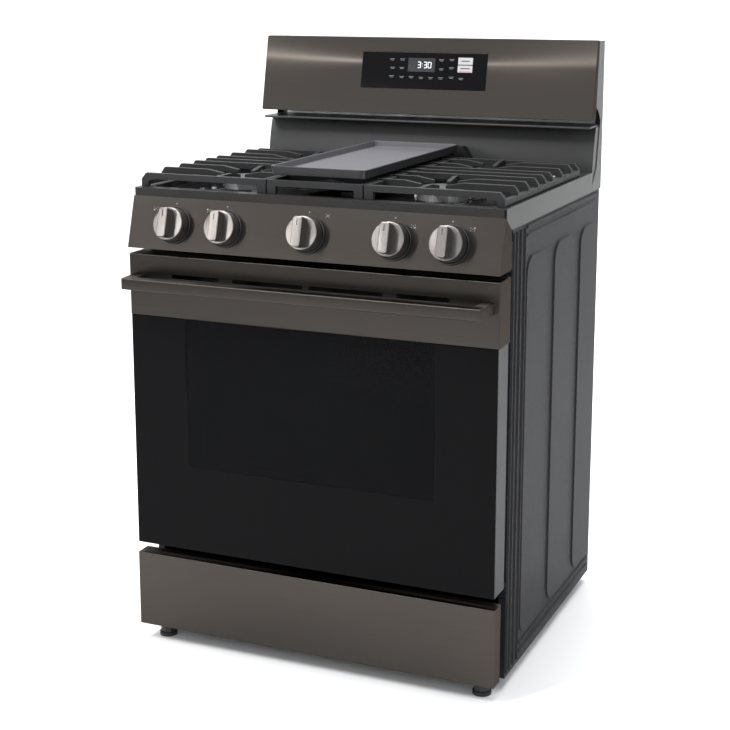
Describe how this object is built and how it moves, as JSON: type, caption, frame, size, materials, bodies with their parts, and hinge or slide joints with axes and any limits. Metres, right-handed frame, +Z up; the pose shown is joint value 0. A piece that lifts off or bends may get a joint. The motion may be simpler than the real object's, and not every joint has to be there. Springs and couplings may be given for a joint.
{
  "type": "freestanding gas range",
  "caption": "Freestanding gas range: glass oven door, storage drawer, knob panel, cast grates with a griddle, and a rear control panel with a display.",
  "frame": {"origin": "on the floor, under the middle of the overall width and depth", "axes": "+Z up, -Y towards the front of the range, +X towards its right side seen from the front"},
  "size_m": [0.762, 0.732, 1.2],
  "materials": {
    "black_stainless": "dark brushed stainless, satin",
    "side_paint": "pebbled dark grey paint",
    "satin_black_paint": "satin",
    "gloss_enamel": "gloss black enamel",
    "oven_enamel": "speckled dark blue-grey enamel",
    "galvanised": "zinc-coated sheet",
    "cast": "matt enamelled cast iron",
    "griddle_cast": "seasoned cast iron",
    "black_glass": "printed black glass",
    "clear_glass": "clear",
    "aluminised": "die cast",
    "steel_tube": "plain",
    "chrome_wire": "polished",
    "brass_parts": "machined",
    "black_plastic": "moulded",
    "board_green": "printed circuit board",
    "wool": "mineral wool blanket",
    "gasket": "woven fibreglass rope",
    "white_ceramic": "white glazed insulator",
    "knob_steel": "satin steel skin"
  },
  "bodies": {
    "range_body": {"backguard_end_left": "satin_black_paint", "backguard_end_right": "satin_black_paint", "backguard_rear_cover": "galvanised", "backguard_riser": "satin_black_paint", "bake_burner": "steel_tube", "base_frame": "galvanised", "broil_burner": "steel_tube", "burner_caps": "cast", "burner_heads": "aluminised", "burner_valves": "brass_parts", "control_board": "board_green", "control_fascia": "black_stainless", "control_glass": "black_glass", "cooktop": "gloss_enamel", "door_gasket": "gasket", "drawer_rails": "galvanised", "front_frame": "galvanised", "gas_inlet": "aluminised", "gas_manifold": "steel_tube", "hinge_arms": "steel_tube", "igniters": "white_ceramic", "knob_bezels": "black_plastic", "levelling_feet": "black_plastic", "manifold_panel": "black_stainless", "oven_bottom_cover": "oven_enamel", "oven_insulation": "wool", "oven_lamp": "clear_glass", "oven_liner": "oven_enamel", "oven_vent_trim": "satin_black_paint", "power_cord_gland": "black_plastic", "rear_panel": "galvanised", "rear_screws": "steel_tube", "side_panel_left": "side_paint", "side_panel_right": "side_paint", "vent_lip": "satin_black_paint"},
    "door": {"door_glass": "black_glass", "door_trim": "black_stainless", "door_frame": "satin_black_paint", "door_inner_panel": "oven_enamel", "door_inner_glass": "clear_glass", "door_handle": "black_stainless", "hinge_channels": "steel_tube"},
    "drawer": {"drawer_front": "black_stainless", "drawer_box": "satin_black_paint"},
    "rack_lower": {"oven_rack_lower": "chrome_wire"},
    "rack_upper": {"oven_rack_upper": "chrome_wire"},
    "grate_left_body": {"grate_left": "cast"},
    "grate_center_body": {"grate_center": "cast"},
    "grate_right_body": {"grate_right": "cast"},
    "griddle_body": {"griddle": "griddle_cast"},
    "valve_1": {"valve_stem_1": "steel_tube"},
    "knob_body_1": {"knob_1": "knob_steel"},
    "valve_2": {"valve_stem_2": "steel_tube"},
    "knob_body_2": {"knob_2": "knob_steel"},
    "valve_3": {"valve_stem_3": "steel_tube"},
    "knob_body_3": {"knob_3": "knob_steel"},
    "valve_4": {"valve_stem_4": "steel_tube"},
    "knob_body_4": {"knob_4": "knob_steel"},
    "valve_5": {"valve_stem_5": "steel_tube"},
    "knob_body_5": {"knob_5": "knob_steel"}
  },
  "joints": [
    {"name": "oven_door", "type": "hinge", "parent": "range_body", "child": "door", "pos_m": [0, -0.272, 0.236], "axis": [1, 0, 0], "range_deg": [0, 90], "stiffness_Nm_per_rad": 20, "springref_deg": -8.59},
    {"name": "drawer_slide", "type": "slide", "parent": "range_body", "child": "drawer", "axis": [0, -1, 0], "range_m": [0, 0.4]},
    {"name": "rack_lower_slide", "type": "slide", "parent": "range_body", "child": "rack_lower", "axis": [0, -1, 0], "range_m": [0, 0.012]},
    {"name": "rack_upper_slide", "type": "slide", "parent": "range_body", "child": "rack_upper", "axis": [0, -1, 0], "range_m": [0, 0.012]},
    {"name": "grate_left_lift", "type": "slide", "parent": "range_body", "child": "grate_left_body", "axis": [0, 0, 1], "range_m": [0, 0.1]},
    {"name": "grate_center_lift", "type": "slide", "parent": "range_body", "child": "grate_center_body", "axis": [0, 0, 1], "range_m": [0, 0.1]},
    {"name": "grate_right_lift", "type": "slide", "parent": "range_body", "child": "grate_right_body", "axis": [0, 0, 1], "range_m": [0, 0.1]},
    {"name": "griddle_lift", "type": "slide", "parent": "grate_center_body", "child": "griddle_body", "axis": [0, 0, 1], "range_m": [0, 0.1]},
    {"name": "knob_1_turn", "type": "hinge", "parent": "range_body", "child": "valve_1", "pos_m": [-0.2815, -0.29633, 0.861], "axis": [0, -0.9602, 0.2794], "range_deg": [0, 240]},
    {"name": "knob_1_push", "type": "slide", "parent": "valve_1", "child": "knob_body_1", "axis": [0, 0.9602, -0.2794], "range_m": [0, 0.004], "stiffness_N_per_m": 1000, "springref_m": -0.003},
    {"name": "knob_2_turn", "type": "hinge", "parent": "range_body", "child": "valve_2", "pos_m": [-0.1715, -0.29633, 0.861], "axis": [0, -0.9602, 0.2794], "range_deg": [0, 240]},
    {"name": "knob_2_push", "type": "slide", "parent": "valve_2", "child": "knob_body_2", "axis": [0, 0.9602, -0.2794], "range_m": [0, 0.004], "stiffness_N_per_m": 1000, "springref_m": -0.003},
    {"name": "knob_3_turn", "type": "hinge", "parent": "range_body", "child": "valve_3", "pos_m": [0, -0.29633, 0.861], "axis": [0, -0.9602, 0.2794], "range_deg": [0, 240]},
    {"name": "knob_3_push", "type": "slide", "parent": "valve_3", "child": "knob_body_3", "axis": [0, 0.9602, -0.2794], "range_m": [0, 0.004], "stiffness_N_per_m": 1000, "springref_m": -0.003},
    {"name": "knob_4_turn", "type": "hinge", "parent": "range_body", "child": "valve_4", "pos_m": [0.1715, -0.29633, 0.861], "axis": [0, -0.9602, 0.2794], "range_deg": [0, 240]},
    {"name": "knob_4_push", "type": "slide", "parent": "valve_4", "child": "knob_body_4", "axis": [0, 0.9602, -0.2794], "range_m": [0, 0.004], "stiffness_N_per_m": 1000, "springref_m": -0.003},
    {"name": "knob_5_turn", "type": "hinge", "parent": "range_body", "child": "valve_5", "pos_m": [0.2815, -0.29633, 0.861], "axis": [0, -0.9602, 0.2794], "range_deg": [0, 240]},
    {"name": "knob_5_push", "type": "slide", "parent": "valve_5", "child": "knob_body_5", "axis": [0, 0.9602, -0.2794], "range_m": [0, 0.004], "stiffness_N_per_m": 1000, "springref_m": -0.003}
  ]
}
